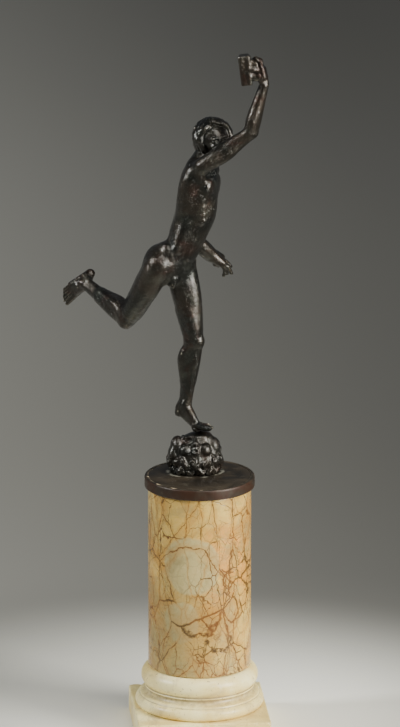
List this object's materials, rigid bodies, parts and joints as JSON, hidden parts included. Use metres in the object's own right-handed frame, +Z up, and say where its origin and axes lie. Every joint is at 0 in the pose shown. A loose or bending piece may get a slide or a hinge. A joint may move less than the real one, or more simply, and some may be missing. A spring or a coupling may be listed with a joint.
{
  "type": "mercury statue",
  "caption": "Small bronze runner balanced on one foot on a wind god's head, over a round bronze plate, a marble drum and a moulded square base.",
  "frame": {"origin": "middle of the square plinth's underside", "axes": "+Z up the marble drum; X and Y along the plinth's sides, -Y towards the front of the statue as it is shown"},
  "size_m": [0.1283, 0.1181, 0.4602],
  "materials": {
    "figure_bronze": "dark brown-black lacquered patina, glossy on the high places",
    "head_bronze": "dark brown patina with greenish dust in the hollows",
    "disc_bronze": "dark red-brown patina, worn bright along the rim",
    "veined_marble": "polished beige and pink brecciated marble with brown veins",
    "cream_marble": "honed cream marble, dusty in the hollows, chipped at the edges"
  },
  "bodies": {
    "root": {"mercury_figure": "figure_bronze", "wind_head": "head_bronze", "bronze_disc": "disc_bronze", "marble_shaft": "veined_marble", "moulded_base": "cream_marble"}
  },
  "joints": []
}
